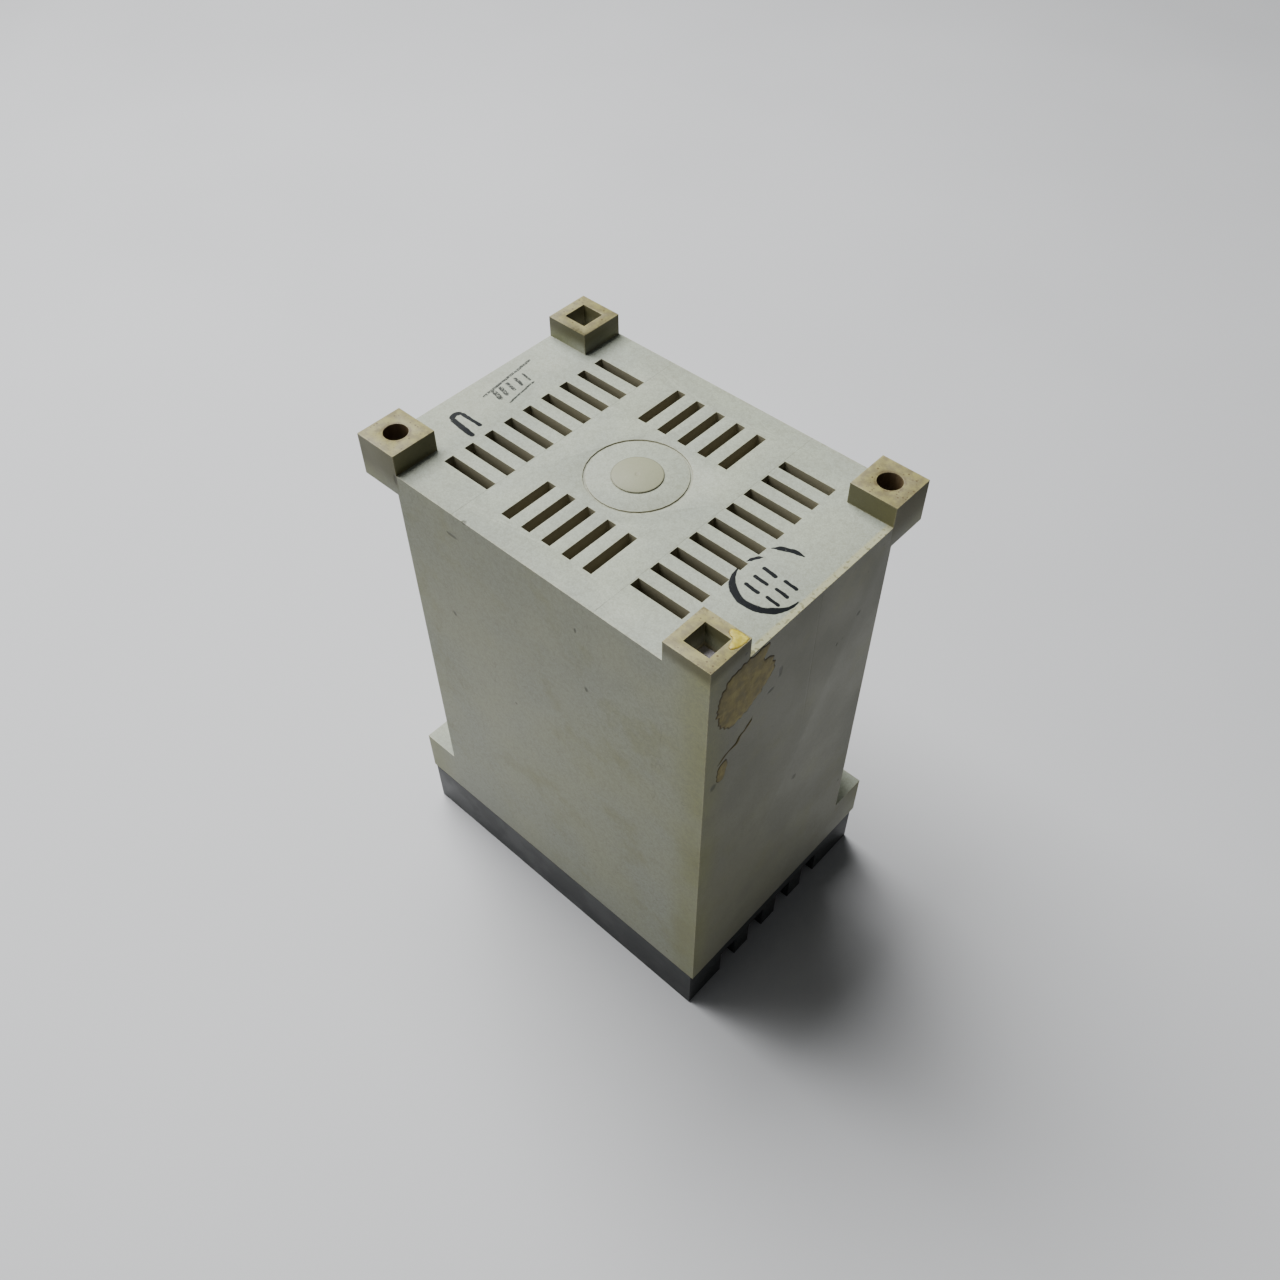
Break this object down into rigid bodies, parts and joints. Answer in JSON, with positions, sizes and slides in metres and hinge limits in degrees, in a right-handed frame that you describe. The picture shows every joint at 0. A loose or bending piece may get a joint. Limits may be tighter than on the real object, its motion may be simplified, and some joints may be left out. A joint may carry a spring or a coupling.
{
  "type": "solid state relay",
  "caption": "Deep box-shaped panel-mounting solid state relay with corner lugs, slotted vented back wall, dark front cover and screw terminals at both short ends.",
  "frame": {"origin": "middle of the footprint of the front face, which is at z = 0", "axes": "+Z from the front face to the back mounting lugs, X along the long side of the face, Y along the short side"},
  "size_m": [0.08, 0.056, 0.1113],
  "materials": {
    "case": "moulded, light grey cream, slightly yellowed",
    "cover": "moulded, dark grey",
    "label": "satin, blank",
    "block": "moulded phenolic",
    "brass": "plain",
    "steel": "nickel plated",
    "zinc": "yellow passivated zinc",
    "board": "glass-epoxy laminate with lacquer",
    "aluminium": "extruded",
    "epoxy": "moulded epoxy",
    "tinned": "tinned copper",
    "film": "dipped",
    "ceramic": "lacquered disc",
    "resistor": "lacquered",
    "sleeve": "shrunk sleeve",
    "red_lens": "tinted clear"
  },
  "bodies": {
    "case": {"board_link": "block", "case_screw_1": "zinc", "case_screw_2": "zinc", "case_screw_3": "zinc", "case_screw_4": "zinc", "face_label": "label", "front_cover": "cover", "heat_sink": "aluminium", "indicator_1": "red_lens", "indicator_2": "red_lens", "main_board": "board", "optocoupler_1": "epoxy", "optocoupler_2": "epoxy", "power_board": "board", "rear_case": "case", "sink_post_1": "brass", "sink_post_2": "brass", "sink_screw_1": "zinc", "sink_screw_2": "zinc", "snubber_capacitor_1": "film", "snubber_capacitor_2": "film", "snubber_resistor_1": "resistor", "snubber_resistor_2": "resistor", "storage_capacitor": "sleeve", "terminal_1": "brass", "terminal_2": "brass", "terminal_3": "brass", "terminal_4": "brass", "terminal_5": "brass", "terminal_6": "brass", "terminal_7": "brass", "terminal_8": "brass", "terminal_block_1": "block", "terminal_block_2": "block", "triac_1": "epoxy", "triac_2": "epoxy", "triac_frame_1": "tinned", "triac_frame_2": "tinned", "triac_screw_1": "zinc", "triac_screw_2": "zinc", "varistor_1": "ceramic", "varistor_2": "ceramic"},
    "clamp_1": {"clamp_plate_1": "steel"},
    "screw_1": {"terminal_screw_1": "steel"},
    "clamp_2": {"clamp_plate_2": "steel"},
    "screw_2": {"terminal_screw_2": "steel"},
    "clamp_3": {"clamp_plate_3": "steel"},
    "screw_3": {"terminal_screw_3": "steel"},
    "clamp_4": {"clamp_plate_4": "steel"},
    "screw_4": {"terminal_screw_4": "steel"},
    "clamp_5": {"clamp_plate_5": "steel"},
    "screw_5": {"terminal_screw_5": "steel"},
    "clamp_6": {"clamp_plate_6": "steel"},
    "screw_6": {"terminal_screw_6": "steel"},
    "clamp_7": {"clamp_plate_7": "steel"},
    "screw_7": {"terminal_screw_7": "steel"},
    "clamp_8": {"clamp_plate_8": "steel"},
    "screw_8": {"terminal_screw_8": "steel"}
  },
  "joints": [
    {"name": "clamp_slide_1", "type": "slide", "parent": "case", "child": "clamp_1", "axis": [0, 0, -1], "range_m": [0, 0.0018]},
    {"name": "screw_turn_1", "type": "hinge", "parent": "clamp_1", "child": "screw_1", "pos_m": [0.03135, -0.0153, 0.004], "axis": [0, 0, -1], "range_deg": [0, 1080]},
    {"name": "clamp_slide_2", "type": "slide", "parent": "case", "child": "clamp_2", "axis": [0, 0, -1], "range_m": [0, 0.0018]},
    {"name": "screw_turn_2", "type": "hinge", "parent": "clamp_2", "child": "screw_2", "pos_m": [0.03135, -0.0059, 0.004], "axis": [0, 0, -1], "range_deg": [0, 1080]},
    {"name": "clamp_slide_3", "type": "slide", "parent": "case", "child": "clamp_3", "axis": [0, 0, -1], "range_m": [0, 0.0018]},
    {"name": "screw_turn_3", "type": "hinge", "parent": "clamp_3", "child": "screw_3", "pos_m": [0.03135, 0.0035, 0.004], "axis": [0, 0, -1], "range_deg": [0, 1080]},
    {"name": "clamp_slide_4", "type": "slide", "parent": "case", "child": "clamp_4", "axis": [0, 0, -1], "range_m": [0, 0.0018]},
    {"name": "screw_turn_4", "type": "hinge", "parent": "clamp_4", "child": "screw_4", "pos_m": [0.03135, 0.0129, 0.004], "axis": [0, 0, -1], "range_deg": [0, 1080]},
    {"name": "clamp_slide_5", "type": "slide", "parent": "case", "child": "clamp_5", "axis": [0, 0, -1], "range_m": [0, 0.0018]},
    {"name": "screw_turn_5", "type": "hinge", "parent": "clamp_5", "child": "screw_5", "pos_m": [-0.03135, 0.0153, 0.004], "axis": [0, 0, -1], "range_deg": [0, 1080]},
    {"name": "clamp_slide_6", "type": "slide", "parent": "case", "child": "clamp_6", "axis": [0, 0, -1], "range_m": [0, 0.0018]},
    {"name": "screw_turn_6", "type": "hinge", "parent": "clamp_6", "child": "screw_6", "pos_m": [-0.03135, 0.0059, 0.004], "axis": [0, 0, -1], "range_deg": [0, 1080]},
    {"name": "clamp_slide_7", "type": "slide", "parent": "case", "child": "clamp_7", "axis": [0, 0, -1], "range_m": [0, 0.0018]},
    {"name": "screw_turn_7", "type": "hinge", "parent": "clamp_7", "child": "screw_7", "pos_m": [-0.03135, -0.0035, 0.004], "axis": [0, 0, -1], "range_deg": [0, 1080]},
    {"name": "clamp_slide_8", "type": "slide", "parent": "case", "child": "clamp_8", "axis": [0, 0, -1], "range_m": [0, 0.0018]},
    {"name": "screw_turn_8", "type": "hinge", "parent": "clamp_8", "child": "screw_8", "pos_m": [-0.03135, -0.0129, 0.004], "axis": [0, 0, -1], "range_deg": [0, 1080]}
  ],
  "couplings": [
    {"joint": "screw_turn_1", "follows": "clamp_slide_1", "rad_per_m": 10472},
    {"joint": "screw_turn_2", "follows": "clamp_slide_2", "rad_per_m": 10472},
    {"joint": "screw_turn_3", "follows": "clamp_slide_3", "rad_per_m": 10472},
    {"joint": "screw_turn_4", "follows": "clamp_slide_4", "rad_per_m": 10472},
    {"joint": "screw_turn_5", "follows": "clamp_slide_5", "rad_per_m": 10472},
    {"joint": "screw_turn_6", "follows": "clamp_slide_6", "rad_per_m": 10472},
    {"joint": "screw_turn_7", "follows": "clamp_slide_7", "rad_per_m": 10472},
    {"joint": "screw_turn_8", "follows": "clamp_slide_8", "rad_per_m": 10472}
  ]
}
